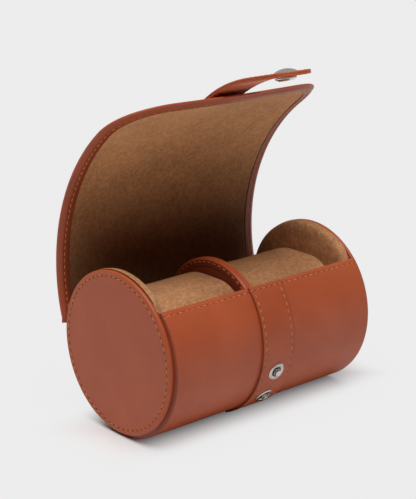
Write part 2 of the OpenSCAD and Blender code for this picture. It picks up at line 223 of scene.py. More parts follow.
def suede_finish(name, dark, light):
    """Brushed suede: patches where the nap lies either way, short fibres and a soft sheen."""
    f = Finish(name, 0.95, Specular_IOR_Level=0.12, Sheen_Weight=0.35, Sheen_Roughness=0.45)
    f.shader.inputs["Sheen Tint"].default_value = linear(255, 226, 190)
    patches = f.noise(42, 4, 0.65)
    nap = f.noise(420, 5, 0.75)
    f.tones(f.mixed(patches, nap, 0.7), [(0.29, linear(*dark)), (0.71, linear(*light))])
    # The deep colour is painted shade, deepening towards the lid's crease.
    f.painted_shade_and_dye(linear(64, 34, 16))
    f.relief(f.mixed(f.noise(1700, 3, 0.7), nap, 0.4), 0.0005, 0.45)
    return f.made


def thread_finish(name, dark, light):
    """Waxed thread."""
    f = Finish(name, 0.6, Specular_IOR_Level=0.35)
    f.tones(f.noise(700, 3), [(0.3, linear(*dark)), (0.7, linear(*light))])
    f.relief(f.noise(5200, 1), 0.0001, 0.4)
    return f.made


def metal(name, tone):
    """Polished nickel with faint smears."""
    f = Finish(name, 0.14, Metallic=1.0)
    lighter = linear(*[min(255, t + 14) for t in tone])
    f.tones(f.noise(300, 3), [(0.2, linear(*tone)), (0.9, lighter)])
    f.gloss(f.noise(900, 4), 0.1, 0.22)
    return f.made


def stud_metal(name, tone, front_deg):
    """Nickel with painted shade in the hollow round the post and at the foot of its ring. Its middle stands
    front_deg below the axis, on the band."""
    f = Finish(name, 0.14, Metallic=1.0)
    down = math.radians(front_deg)
    out = (WALL_R + BAND_T + 1.15) * MM
    middle = (0, -out * math.cos(down), AXIS_H * MM - out * math.sin(down))
    far = f.node("ShaderNodeVectorMath", operation="DISTANCE")
    far.inputs[1].default_value = middle
    f.link(f.place, far.inputs[0])
    size = f.node("ShaderNodeMapRange")
    size.inputs["From Max"].default_value = 5.5 * MM
    f.link(far.outputs["Value"], size.inputs["Value"])
    bright, dark, dull = linear(*tone), linear(66, 56, 50), linear(110, 100, 94)
    # Painted shade in the hollow and at the ring's foot.
    hollow_shade = [(0.37, bright), (0.4, dark), (0.6, dark), (0.66, bright)]
    ring_foot_shade = [(0.8, bright), (0.84, dull), (0.88, bright)]
    f.tones(size.outputs["Result"], hollow_shade + ring_foot_shade)
    f.gloss(f.noise(900, 4), 0.1, 0.22)
    return f.made


def plain_stuff(name, dark, light, scale, rough):
    """Board, foam or the painted shade inside a needle hole, speckled."""
    f = Finish(name, rough)
    f.tones(f.noise(scale, 4, 0.7), [(0.3, linear(*dark)), (0.7, linear(*light))])
    f.relief(f.noise(scale * 3, 2), 0.0002, 0.3)
    return f.made


TAN = leather("tan_leather", (170, 77, 43), (188, 91, 53))
BAND_LEATHER = leather("strap_leather", (166, 74, 40), (186, 90, 53))
STRAP_LEATHER = leather("free_strap_leather", (182, 82, 42), (206, 100, 56))
EDGE = leather("edge_leather", (176, 76, 38), (196, 94, 54), 0.36)
# Leather for the divider's faces, darkened as painted shade deep inside the case.
SHADED_INSIDE = leather("shaded_inside_leather", (120, 48, 24), (142, 62, 34), 0.5)
BOUND = leather("bound_board", (84, 40, 24), (104, 52, 32), 0.6)
SUEDE = suede_finish("suede_lining", (148, 94, 54), (230, 164, 110))
PILLOW = suede_finish("suede_cushion", (132, 86, 52), (224, 166, 118))
THREAD = thread_finish("stitching", (188, 108, 52), (222, 146, 80))
# Dark discs painted as the shade inside the needle holes.
NEEDLE_HOLE_SHADE = plain_stuff("needle_hole_shade", (70, 26, 12), (88, 34, 16), 500, 0.9)
NICKEL = metal("nickel", (212, 208, 202))
BOARD = plain_stuff("board", (120, 112, 98), (146, 138, 124), 500, 0.8)
FOAM = plain_stuff("foam", (206, 200, 176), (226, 220, 198), 900, 0.9)


# ---- Meshes ----
def put(name, points, quads, tris, material, crease_deg=38, shade=None):
    """A mesh object from points in millimetres, turned so that its faces point outwards. shade says
    how deep each point's dye and painted shade is, from 0 to 1."""
    points = np.asarray(points, float).reshape(-1, 3) * MM
    quads = np.asarray(quads, int).reshape(-1, 4)
    tris = np.asarray(tris, int).reshape(-1, 3)
    both = np.concatenate([quads[:, [0, 1, 2]], quads[:, [0, 2, 3]], tris])
    a, b, c = (points[both[:, i]] for i in range(3))
    if np.einsum("ij,ij->", a, np.cross(b, c)) < 0:
        quads, tris = quads[:, ::-1], tris[:, ::-1]
    mesh = bpy.data.meshes.new(name)
    mesh.from_pydata(points.tolist(), [], quads.tolist() + tris.tolist())
    mesh.materials.append(material)
    if shade is not None:
        dye_and_painted_shade = mesh.attributes.new("dye_and_painted_shade", "FLOAT", "POINT")
        dye_and_painted_shade.data.foreach_set("value", np.asarray(shade, float).ravel())
    mesh.shade_smooth()
    mesh.set_sharp_from_angle(angle=math.radians(crease_deg))
    made = bpy.data.objects.new(name, mesh)
    bpy.context.scene.collection.objects.link(made)
    return made


def shell(name, rings, material, closed=False, crease_deg=38, shade=None):
    """A surface through rings of points (rings, around, 3), each ring closed on itself. The last ring
    joins the first if closed, and otherwise each end closes on a pole in the middle of its ring."""
    rings = np.asarray(rings, float)
    count, around = rings.shape[:2]
    index = np.arange(count * around).reshape(count, around)
    a = index if closed else index[:-1]
    b = np.roll(index, -1, axis=0) if closed else index[1:]
    quads = np.stack([a, np.roll(a, -1, 1), np.roll(b, -1, 1), b], -1).reshape(-1, 4)
    points, tris = rings.reshape(-1, 3), np.zeros((0, 3), int)
    if not closed:
        poles = rings[[0, -1]].mean(axis=1)
        points = np.vstack([points, poles])
        first = np.stack([np.roll(index[0], -1), index[0], np.full(around, count * around)], -1)
        last = np.stack([index[-1], np.roll(index[-1], -1), np.full(around, count * around + 1)], -1)
        tris = np.vstack([first, last])
        if shade is not None:
            shade = np.append(shade, [shade[0], shade[-1]])
    return put(name, points, quads, tris, material, crease_deg, shade)


def revolved(name, profile, side, material, x0, around=220, closed=False, height=AXIS_H, shade=None):
    """A profile of (radius, depth) turned about the case's axis. Depth runs from the plane x0 along
    side, which is 1 to the right and -1 to the left."""
    r, depth = np.asarray(profile, float).T
    turn = np.linspace(0, 2 * math.pi, around, endpoint=False)
    rings = np.stack(
        [
            np.broadcast_to((x0 + side * depth)[:, None], (len(r), around)),
            r[:, None] * np.cos(turn),
            height + r[:, None] * np.sin(turn),
        ],
        -1,
    )
    if shade is not None:
        shade = np.repeat(shade, around)
    return shell(name, rings, material, closed, shade=shade)


def bow(d, r):
    """How far a rounded edge of radius r falls back at distance d from its end: r - sqrt(r^2 - (r-d)^2)."""
    return r - np.sqrt(np.maximum(r * r - np.maximum(r - d, 0) ** 2, 0))


def dip(d, at, width, depth):
    """A channel of a cosine's shape, centred at distance at."""
    u = np.clip(np.abs(d - at) / (width / 2), 0, 1)
    return depth * 0.5 * (1 + np.cos(math.pi * u))


def ease(t):
    """A smooth rise from 0 at t = 0 to 1 at t = 1: t^2 (3 - 2 t)."""
    t = np.clip(t, 0, 1)
    return t * t * (3 - 2 * t)


class Line:
    """A curve in the Y-Z plane, sampled by its length s. v is the offset towards the inner side, which is
    the direction turned a quarter turn anticlockwise. twist leans the left side out by up to that much,
    as (s / lid length)^2 x / half width, and the right side in by LID_TWIST_RIGHT of it. right narrows
    the right side."""

    def __init__(self, s, y, z, twist=0.0, right=1.0):
        self.s, self.y, self.z, self.twist, self.right = s, y, z, twist, right
        dy, dz = np.gradient(y, s), np.gradient(z, s)
        size = np.hypot(dy, dz)
        self.dy, self.dz = dy / size, dz / size

    def at(self, s, x=0.0, v=0.0):
        """Points at length s, x across and v inwards."""
        y, z, dy, dz = (np.interp(s, self.s, a) for a in (self.y, self.z, self.dy, self.dz))
        lean = np.where(x > 0, LID_TWIST_RIGHT, 1.0) * x / CASE_HALF
        v = v + self.twist * lean * np.clip(s / LID_END, 0, 1) ** 2
        x = np.broadcast_to(np.where(x > 0, x * self.right, x), np.shape(y + v))
        return np.stack([x, y - v * dz, z + v * dy], -1)

    def along(self, s):
        """Unit directions along the line."""
        dy, dz = np.interp(s, self.s, self.dy), np.interp(s, self.s, self.dz)
        return np.stack([np.zeros_like(dy), dy, dz], -1)

    def inward(self, s):
        """Unit directions towards the inner side."""
        dy, dz = np.interp(s, self.s, self.dy), np.interp(s, self.s, self.dz)
        return np.stack([np.zeros_like(dy), -dz, dy], -1)


def arc_line(r, from_deg, to_deg):
    """A circle about the case's axis, from one angle to a larger one. Angles run from +Y over the top."""
    s = np.linspace(0, math.radians(to_deg - from_deg) * r, 1200)
    a = math.radians(from_deg) + s / r
    return Line(s, r * np.cos(a), AXIS_H + r * np.sin(a))


def smoothed(s, y, z, width):
    """The same curve with its corners rounded by a moving mean of that width."""
    n = int(round(width / (s[1] - s[0]))) // 2 * 2 + 1
    wide = np.ones(n) / n

    def mean(a):
        ends = np.concatenate([2 * a[0] - a[n // 2:0:-1], a, 2 * a[-1] - a[-2:-n // 2 - 1:-1]])
        return np.convolve(ends, wide, "valid")

    return s, mean(y), mean(z)


STEP = 0.1
CREASE_SOFT = 4.0
STRAP_SOFT = 5.0


def lid_lines():
    """The lid's mid-line from 10 mm before its crease, where it follows the wall, and the band and
    strap's own mid-line, which lies outside the lid's and leaves it short of the free edge."""
    s = np.arange(-10, LID_END + STEP / 2, STEP)
    bends = BEND_AT_HINGE + (BEND_AT_EDGE - BEND_AT_HINGE) * np.minimum(np.floor(s / PANEL), 4) / 4
    bends = np.where(s < 0, 1 / HINGE_R, bends)
    turn = np.concatenate([[0], np.cumsum(bends[:-1] * STEP)])
    turn -= np.interp(0, s, turn)
    fold = math.radians(WALL_LEAN_DEG - LEAN_DEG)
    way = math.radians(LEAN_DEG) + turn + np.where(s < -STEP / 2, fold, 0)
    mid = way + bends * STEP / 2
    y = np.concatenate([[0], np.cumsum(np.cos(mid[:-1]) * STEP)])
    z = np.concatenate([[0], np.cumsum(np.sin(mid[:-1]) * STEP)])
    hinge = math.radians(HINGE_DEG)
    y += HINGE_R * math.cos(hinge) - np.interp(0, s, y)
    z += AXIS_H + HINGE_R * math.sin(hinge) - np.interp(0, s, z)
    lid = Line(*smoothed(s, y, z, CREASE_SOFT), LID_TWIST, LID_RIGHT)
    sewn = s[s <= STRAP_START]
    thin = LID_HALF_T + BAND_T / 2
    off = -thin - (STRAP_LIFT - thin) * ease((sewn - STRAP_START + 10) / 10)
    on_lid = lid.at(sewn, 0, off)
    point, way_now, s_now = on_lid[-1, 1:], np.interp(STRAP_START, s, way), sewn[-1]
    way_now -= math.radians(STRAP_TURN_DEG)
    ss, pts = [], []
    for length, r in STRAP_PARTS:
        n = int(round(length / STEP))
        t = np.arange(1, n + 1) * length / n
        mids = way_now + (t - length / n / 2) / r
        steps = np.stack([np.cos(mids), np.sin(mids)], -1) * length / n
        ss.append(s_now + t)
        pts.append(point + np.cumsum(steps, axis=0))
        point, way_now, s_now = pts[-1][-1], way_now + length / r, s_now + length
    s_all = np.concatenate([sewn, *ss])
    path = np.concatenate([on_lid[:, 1:], *pts])
    even = np.arange(s_all[0], s_all[-1] + STEP / 2, STEP)
    y, z = (np.interp(even, s_all, path[:, k]) for k in (0, 1))
    return lid, Line(*smoothed(even, y, z, STRAP_SOFT), LID_TWIST)


LID, BAND = lid_lines()
ROOT_L, MID_L, TIP_L = (length for length, _ in STRAP_PARTS)
STRAP_CREASES = [STRAP_START, STRAP_START + ROOT_L, STRAP_START + ROOT_L + MID_L]
STRAP_END = STRAP_CREASES[2] + TIP_L


def spread(start, stop, step):
    """Even places from start to stop, about step apart."""
    return np.linspace(start, stop, max(2, int(round(abs(stop - start) / step)) + 1))


def with_rims(length, rim, step):
    """Places from 0 to length: the rim's own steps at both ends, and even steps between."""
    rim = np.asarray(rim, float)
    return np.concatenate([rim, spread(rim[-1], length - rim[-1], step)[1:-1], length - rim[::-1]])


def ending(start, stop, step, rim):
    """Places from start to stop: even steps, and the rim's own steps at the far end."""
    rim = np.asarray(rim, float)
    return np.concatenate([spread(start, stop - rim[-1], step)[:-1], stop - rim[::-1]])


def rounded(x, s, half, end, corner):
    """Moves a sharp outline's grid onto one with rounded far corners. Each ring of the grid keeps its
    distance to the edge, and its last stretch before the corner is laid round an eighth of a circle."""
    side = half - np.abs(x)
    far = end - s
    d = np.minimum(side, far)
    run = np.maximum(side, far) - d
    left = np.maximum(corner - d, 1e-9)
    a = math.pi / 4 * (1 - run / left)
    on_side = side < far
    out = np.where(on_side, np.cos(a), np.sin(a)) * left
    up = np.where(on_side, np.sin(a), np.cos(a)) * left
    sign = np.where(x < 0, -1, 1)
    turn = (run < left) & (d < corner)
    return (
        np.where(turn, sign * (half - corner + out), x),
        np.where(turn, end - corner + up, s),
        d,
    )


def flat(d, s, x):
    """No height, no dye and no painted shade."""
    return 0 * d


def slab(name, line, half, s, rim, step, inner, outer, material, corner=0.0, lay=None, painted_shade_and_dye=None):
    """A bent sheet between two height fields over one grid: x across from -half to half, s along the
    line. inner and outer give each point's offset from its distances to the side and the far end. Both
    sides meet in a wall all round, so the sheet is closed. Its last argument gives the dye and painted shade
    of both sides."""
    x = with_rims(2 * half, rim, step) - half
    px, ps = np.meshgrid(x, s, indexing="ij")
    d = half - np.abs(px)
    if corner:
        px, ps, d = rounded(px, ps, half, s[-1], corner)
    lay = lay or (lambda p: p)
    top = lay(line.at(ps, px, inner(d, ps, px)))
    low = lay(line.at(ps, px, outer(d, ps, px)))
    nx, ns = d.shape
    index = np.arange(nx * ns).reshape(nx, ns)
    under = index + nx * ns

    def skin(i):
        return np.stack([i[:-1, :-1], i[1:, :-1], i[1:, 1:], i[:-1, 1:]], -1).reshape(-1, 4)

    def wall(a, b):
        return np.stack([a[:-1], a[1:], b[1:], b[:-1]], -1)

    quads = np.concatenate(
        [
            skin(index),
            skin(under)[:, ::-1],
            wall(index[:, 0], under[:, 0])[:, ::-1],
            wall(index[:, -1], under[:, -1]),
            wall(index[0], under[0]),
            wall(index[-1], under[-1])[:, ::-1],
        ]
    )
    shade = None
    if painted_shade_and_dye:
        shade = np.stack([np.broadcast_to(f(d, ps, px), d.shape) for f in painted_shade_and_dye])
    points = np.concatenate([top.reshape(-1, 3), low.reshape(-1, 3)])
    return put(name, points, quads, [], material, shade=shade)


def stitches(name, places, ways, ups):
    """Short thread beads in one mesh: each is a bowed capsule of six sides whose ends dip into the
    leather, as u^4 along it, with a dark disc beside it painted as the shade of a needle hole. places, ways
    and ups are (n, 3): middle, direction and outward direction."""
    places, ways, ups = (np.asarray(a, float).reshape(-1, 3) for a in (places, ways, ups))
    sides = np.cross(ways, ups)
    length = 0.66 * STITCH
    u = np.array([-1.0, -0.82, -0.35, 0.35, 0.82, 1.0])
    girth = THREAD_T / 2 * np.array([0.35, 0.8, 1.0, 1.0, 0.8, 0.35])
    lift = THREAD_T * (0.22 - 0.8 * u**4)
    turn = np.linspace(0, 2 * math.pi, 6, endpoint=False)
    along = u[:, None] * length / 2 + 0 * turn
    across = girth[:, None] * np.cos(turn)
    height = lift[:, None] + girth[:, None] * np.sin(turn)
    hole_along = np.concatenate([0.2 * STITCH * np.cos(turn), [0, 0]]) + STITCH / 2
    hole_across = np.concatenate([0.36 * np.sin(turn), [0, 0]])
    hole_height = np.concatenate([0 * turn - 0.05, [0.02, -0.1]])
    shape = [
        np.concatenate([a.ravel(), b])
        for a, b in ((along, hole_along), (across, hole_across), (height, hole_height))
    ]
    points = places[:, None] + sum(
        v[None, :, None] * axis[:, None] for v, axis in zip(shape, (ways, sides, ups))
    )
    rings, around, n, each = 6, 6, len(places), len(shape[0])
    index = np.arange(rings * around).reshape(rings, around)
    nxt = np.roll(index, -1, 1)
    quads = np.stack([index[:-1], nxt[:-1], nxt[1:], index[1:]], -1).reshape(-1, 4)
    caps = np.array([[0, 3, 2, 1], [0, 5, 4, 3]])
    quads = np.concatenate([quads, caps, caps[:, ::-1] + (rings - 1) * around])
    rim = np.arange(6) + rings * around
    after = np.roll(rim, -1)
    top, bottom = np.full(6, rings * around + 6), np.full(6, rings * around + 7)
    tris = np.concatenate([np.stack([rim, after, top], -1), np.stack([after, rim, bottom], -1)])
    shift = (np.arange(n) * each)[:, None, None]
    made = put(name, points, quads + shift, tris + shift, THREAD, 80)
    made.data.materials.append(NEEDLE_HOLE_SHADE)
    kinds = np.zeros(len(made.data.polygons), np.int32)
    kinds[n * len(quads):] = 1
    made.data.polygons.foreach_set("material_index", kinds)
    return made


def row(start, stop):
    """Middles of even stitches between two lengths."""
    n = max(1, int(round((stop - start) / STITCH)))
    return start + (np.arange(n) + 0.5) * (stop - start) / n


def edge_row(line, half, inset, start, stop, corner=0.0):
    """Even stitches up one side of a strip and down the other, or, with a corner radius, round its free
    end as well: a straight, a quarter circle and half the end, then the same mirrored. Gives lengths,
    places across and directions."""
    x_in = half - inset
    if not corner:
        s = np.tile(row(start, stop), 2)
        x = np.repeat([-x_in, x_in], len(s) // 2)
        return s, x, line.along(s)
    c = corner - inset
    straight, quarter = stop - inset - c - start, c * math.pi / 2
    total = 2 * (straight + quarter + x_in - c)
    t = row(0, total)
    w = np.minimum(t, total - t)
    a = np.clip((w - straight) / c, 0, math.pi / 2)
    s = start + np.minimum(w, straight) + c * np.sin(a)
    x = -x_in + c * (1 - np.cos(a)) + np.maximum(w - straight - quarter, 0)
    flip = np.where(t > total / 2, -1, 1)
    ways = (flip * np.cos(a))[:, None] * line.along(s) + np.sin(a)[:, None] * np.array([1.0, 0, 0])
    return s, x * flip, ways


def round_row(radius, height, planes):
    """Even stitches round circles about the case's axis, or a lower one: planes are (x, side), and side
    is the way each row faces. Gives places, directions and outward directions."""
    count = int(2 * math.pi * radius / STITCH)
    a = np.arange(count) * 2 * math.pi / count
    circle = [radius * np.cos(a), height + radius * np.sin(a)]
    spots = [np.stack([np.full(count, x), *circle], -1) for x, _ in planes]
    ways = np.stack([0 * a, -np.sin(a), np.cos(a)], -1)
    ups = [np.tile([float(side), 0, 0], (count, 1)) for _, side in planes]
    return np.concatenate(spots), np.tile(ways, (len(planes), 1)), np.concatenate(ups)


def joined(name, parts):
    """Several meshes as one piece."""
    base = parts[0]
    with bpy.context.temp_override(
        active_object=base, selected_editable_objects=parts, selected_objects=parts
    ):
        bpy.ops.object.join()
    base.name = name
    return base


# ---- Trough ----
def case_piece(made, slot=None, *nodes):
    """Fixes a piece to the case and hides the solids it stands for. slot is not used."""
    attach(made, "case")
    if nodes:
        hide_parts(*nodes)
    return made


def grounded(points):
    """Nothing lies below the flat that the case rests on."""
    points[..., 2] = np.maximum(points[..., 2], 0.0)
    return points


WALL = arc_line(WALL_R, FRONT_DEG - 360, HINGE_DEG - 1.0)
WALL_END = WALL.s[-1]


def wall_leather():
    """Outer hide: it turns over the front edge in a half-round and runs EDGE_HEM down the inside."""
    t = WALL_T + 0.3

    def outer(d, s, x):
        return np.maximum(bow(s, t / 2), bow(d, 1.2)) + dip(s, EDGE_ROW, 1.3, 0.22)

    def inner(d, s, x):
        hem = t - bow(s, t / 2)
        v = np.where(s < EDGE_HEM, hem, LEATHER_T + (hem - LEATHER_T) * ease((EDGE_HEM + 0.5 - s) / 0.5))
        return np.maximum(v, 3.6 * (d < 0.9))

    # Painted shade on the outer face at both ends, in the groove beside the end discs.
    def wall_end_painted_shade(d, s, x):
        return 0.75 * ease((1.3 - d) / 1.2)

    ends = [0, 0.06, 0.25, 0.55, 0.95, 1.5, 2.15, 2.6, 2.9, 3.15, 3.4, 3.65, 3.9, 4.3]
    s = [ends, spread(4.8, EDGE_HEM, 0.8), [EDGE_HEM + 0.5], spread(9.5, WALL_END, 1.0)]
    made = slab(
        "wall_hide",
        WALL,
        WALL_HALF + 0.15,
        np.concatenate(s),
        [0, 0.04, 0.15, 0.35, 0.6, 0.85, 1.0, 1.3],
        1.2,
        inner,
        outer,
        TAN,
        lay=grounded,
        painted_shade_and_dye=(flat, wall_end_painted_shade),
    )
    return case_piece(made, "case_leather", "wall_leather")


def wall_stitches():
    """One row along the front edge, which runs on over the band."""
    x = row(-WALL_HALF + 1.5, WALL_HALF - 1.5)
    s = np.full(len(x), EDGE_ROW)
    ways = np.tile([1.0, 0, 0], (len(x), 1))
    depth = SUNK - BAND_T * (np.abs(x) < BAND_W / 2)
    made = stitches("front_edge_stitching", WALL.at(s, x, depth), ways, -WALL.inward(s))
    return case_piece(made)


wall_leather()
wall_stitches()
LINING = arc_line(INNER_R + SUEDE_T, FRONT_DEG - 360 + 9.6, HINGE_DEG - 1.0)


def wall_lining():
    """Suede from under the front hem round to the crease."""
    made = slab(
        "trough_lining",
        LINING,
        WALL_HALF,
        spread(0, LINING.s[-1], 1.4),
        [0, 0.2, 0.5],
        1.6,
        lambda d, s, x: SUEDE_T - bow(d, 0.5),
        flat,
        SUEDE,
    )
    return case_piece(made, "suede_lining", "wall_lining")


wall_lining()
BAND_RIM = [0, 0.05, 0.18, 0.4, 0.65, 1.0, 1.6, 1.85, 2.1, 2.3, 2.5, 2.75, 3.0, 3.6]


def edge_paint_and_shade(d, s, x):
    """Dark edge paint, which also stands for the shade along each edge, and painted shade in the sewn
    channel.
    """
    return 0.8 * ease((0.7 - d) / 0.5) + 0.25 * dip(d, BAND_ROW, 1.6, 1.0)


def fixed_band(name, node, start, stop, wide):
    """A band sewn on the wall: rounded edges, a skived start, and a sewn channel along each side."""
    sink = 0.02
    skive = 2.2

    def inner(d, s, x):
        return sink + 0 * d

    def outer(d, s, x):
        face = sink - BAND_T + bow(d, 0.35) + dip(d, BAND_ROW, 1.3, 0.2)
        near = np.minimum((s - start) / skive, stop - s)
        v = np.where(near < 0.6, np.maximum(face, -BAND_T + bow(near, 0.6)), face)
        return v + dip(s, EDGE_ROW, 1.3, 0.2)

    rim = np.array([0, 0.05, 0.18, 0.4, 0.65])
    s = [start + skive * rim, spread(start + 1.7, start + 3.5, 0.2)]
    s += [spread(start + 4.5, stop - 1.2, 1.0), stop - rim[::-1]]
    # Edge paint and painted shade on the band's outer face.
    band_paint_and_shade = (flat, edge_paint_and_shade)
    s = np.concatenate(s)
    made = slab(name, WALL, wide / 2, s, BAND_RIM, 1.2, inner, outer, BAND_LEATHER, lay=grounded, painted_shade_and_dye=band_paint_and_shade)
    case_piece(made, "band_leather", node)
    s, x, ways = edge_row(WALL, wide / 2, BAND_ROW, max(start, EDGE_ROW) + 1.2, stop - 1.5)
    case_piece(stitches(name + "_stitching", WALL.at(s, x, BAND_SUNK - BAND_T), ways, -WALL.inward(s)))


front_end = WALL_R * math.radians(180 - FRONT_DEG + BAND_END_DEG)
back_start = WALL_R * math.radians(360 - FRONT_DEG - BAND_END_DEG)
fixed_band("front_strap_band", "front_band", 1.0, front_end, FRONT_BAND_W)
fixed_band("back_strap_band", "back_band", back_start, WALL_END, BAND_W)


# ---- Ends ----
def end_disc(side, word):
    """A disc of hide: flat face, sewn channel and a soft rim of a quarter ellipse."""
    r = np.concatenate([np.linspace(0.5, 40, 30), np.linspace(40.4, DISC_R - 1.5, 34)])
    face = DISC_T - dip(r, DISC_ROW_R, 1.5, 0.3) - 0.3 * ease((r - DISC_ROW_R - 0.3) / 3) ** 2
    turn = np.linspace(0, math.pi / 2, 7)[1:]
    rim_r = DISC_R - 1.5 + 1.5 * np.sin(turn)
    rim = face[-1] - 1.0 + 1.0 * np.cos(turn)
    back = np.array([[DISC_R, 0.6], [DISC_R - 0.2, 0.2], [DISC_R - 0.6, 0.02], [0.5, 0.02]])
    profile = np.concatenate([np.stack([r, face], -1), np.stack([rim_r, rim], -1), back])
    made = revolved(f"end_disc_hide_{word}", profile, side, TAN, side * WALL_HALF)
    case_piece(made, "case_leather", f"end_disc_{word}")
    sewn = round_row(DISC_ROW_R, AXIS_H, [(side * (CASE_HALF - SUNK), side)])
    case_piece(stitches(f"end_disc_stitching_{word}", *sewn))


for side, word in ((-1, "left"), (1, "right")):
    end_disc(side, word)


# ---- Divider ----
def divider_rim():
    """The binding: two leathers folded together, with a fine parting line round its outside. Painted shade
    darkens its sides inwards, where they meet the padded faces."""
    w, h = DIVIDER_RIM_W, DIVIDER_HALF
    turn = np.linspace(0, math.pi / 2, 6)
    soft = 1.1
    right = [[DIVIDER_R - w, h - 0.5], [DIVIDER_R - w + 0.3, h - 0.1]]
    channel = np.linspace(0, 1.6, 9)
    right += [[DIVIDER_R - soft - 1.9 + t, h - float(dip(t, 0.8, 1.4, 0.2))] for t in channel]
    right += [[DIVIDER_R - soft + soft * math.sin(a), h - soft + soft * math.cos(a)] for a in turn]
    crown = [[DIVIDER_R + 0.12 - float(dip(t, 0.0, 0.5, 0.25)), t] for t in np.linspace(1.4, -1.4, 15)]
    left = [[r, -d] for r, d in right[::-1]]
    profile = np.array(right + crown + left)
    # Painted shade on the binding's sides, deepest where they meet the padded faces.
    deep = 0.75 * ease((DIVIDER_R - 0.7 - profile[:, 0]) / 0.8)
    made = revolved("divider_binding", profile, 1, EDGE, DIVIDER_X, closed=True, height=DIVIDER_H, shade=deep)
    case_piece(made, "case_leather", "divider_rim")
    planes = [(DIVIDER_X + side * (h - 0.14), side) for side in (-1, 1)]
    case_piece(stitches("divider_stitching", *round_row(DIVIDER_ROW_R, DIVIDER_H, planes)))


divider_rim()


# ---- Cushions ----
def cushion_section(grow, count=96):
    """Points round a rounded square: four quarter circles joined by straights, evenly stepped."""
    w, h, c = CUSHION_W / 2 + grow, CUSHION_H / 2 + grow, CUSHION_CORNER + grow
    per = count // 4
    y, z = [], []
    for k, (sy, sz) in enumerate(((1, 1), (-1, 1), (-1, -1), (1, -1))):
        a = np.linspace(0, math.pi / 2, per) + k * math.pi / 2
        y.append(sy * (w - c) + c * np.cos(a))
        z.append(sz * (h - c) + c * np.sin(a))
    y, z = np.concatenate(y), np.concatenate(z)
    step = np.hypot(np.diff(y, append=y[0]), np.diff(z, append=z[0]))
    at = np.concatenate([[0], np.cumsum(step)])
    even = np.linspace(0, at[-1], count, endpoint=False)
    return (
        np.interp(even, at, np.append(y, y[0])),
        AXIS_H + CUSHION_TOP - CUSHION_H / 2 + np.interp(even, at, np.append(z, z[0])),
    )


def apply(made, modifier):
    """Makes a modifier's result the mesh itself."""
    with bpy.context.temp_override(object=made, active_object=made, selected_objects=[made]):
        bpy.ops.object.modifier_apply(modifier=modifier)


def values(mesh, kind):
    """Every point's place ("co") or normal ("normal"), as (n, 3) in metres."""
    got = np.zeros(len(mesh.vertices) * 3)
    mesh.vertices.foreach_get(kind, got)
    return got.reshape(-1, 3)


def moved(mesh, at):
    """Sets every point's place."""
    mesh.vertices.foreach_set("co", at.ravel())
    mesh.update()


def puffed(made, held, cap, pressure, frames=20):
    """Blows a padded shape up as cloth: pushed out by pressure, only swelling, and kept within cap of
    where it was, then smoothed once. held(points in millimetres) says which points are sewn down."""
    scene = bpy.context.scene
    start, out = values(made.data, "co"), values(made.data, "normal")
    sewn = made.vertex_groups.new(name="sewn")
    sewn.add(np.flatnonzero(held(start / MM)).tolist(), 1.0, "REPLACE")
    cloth = made.modifiers.new("cloth", "CLOTH")
    cloth.settings.use_pressure = True
    cloth.settings.uniform_pressure_force = pressure
    cloth.settings.quality = 6
    cloth.settings.effector_weights.gravity = 0
    cloth.settings.vertex_group_mass = "sewn"
    cloth.point_cache.frame_start = 1
    cloth.point_cache.frame_end = frames
    for f in range(1, frames + 1):
        scene.frame_set(f)
    apply(made, "cloth")
    scene.frame_set(1)
    move = values(made.data, "co") - start
    move -= out * np.minimum(0, (move * out).sum(axis=1, keepdims=True))
    far = np.linalg.norm(move, axis=1, keepdims=True)
    move *= np.minimum(1, cap * MM / np.maximum(far, 1e-9))
    moved(made.data, start + move)
    made.vertex_groups.clear()
    finer = made.modifiers.new("finer", "SUBSURF")
    finer.levels = finer.render_levels = 1
    apply(made, "finer")
    made.data.shade_smooth()


def dented(made, depth):
    """Soft dents in a stuffed cover: each point sinks along its normal by a sum of three long waves of
    its place, up to depth."""
    at = values(made.data, "co")
    x, y, z = (at / MM).T
    wave = np.sin(x / 5.1 + y / 8.7) + np.sin(y / 6.3 - z / 9.1 + 1.3) + np.sin(x / 9.7 + z / 4.9 + 0.6)
    sink = depth * MM * (wave / 6 + 0.5)
    moved(made.data, at - values(made.data, "normal") * sink[:, None])


def cushion(side, word):
    """A stuffed suede pillow: a rounded-square tube whose ends draw in by a quarter circle and are sewn
    down, domed by a parabola on top and underneath, then puffed."""
    x0, x1 = DIVIDER_HALF + side * DIVIDER_X + 0.3, PAD_FACE_X - 0.3
    length = x1 - x0
    t = np.concatenate([[0, 0.15, 0.6, 1.3, 2.3, 3.6], spread(6, length / 2, 3)])
    t = np.concatenate([t, length - t[-2::-1]])
    near = np.clip(np.minimum(t, length - t) / 2.6, 0, 1)
    grow = -0.1 - 2.0 * (1 - np.sqrt(1 - (1 - near) ** 2))
    rings = []
    for ti, gi in zip(t, grow):
        y, z = cushion_section(gi)
        z += CUSHION_DOME * np.clip(1 - (y / CUSHION_W * 2) ** 2, 0, 1) * np.sign(z - AXIS_H)
        rings.append(np.stack([np.full(len(y), side * (x0 + ti)), y, z], -1))
    made = shell(f"cushion_pillow_{word}", rings, PILLOW, crease_deg=180)

    def held(at):
        return np.minimum(np.abs(at[:, 0] - side * x0), np.abs(at[:, 0] - side * x1)) < 0.7

    puffed(made, held, cap=0.8, pressure=20.0)
    dented(made, 0.5)
    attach(made, f"cushion_{word}")
    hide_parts(f"cushion_cover_{word}")


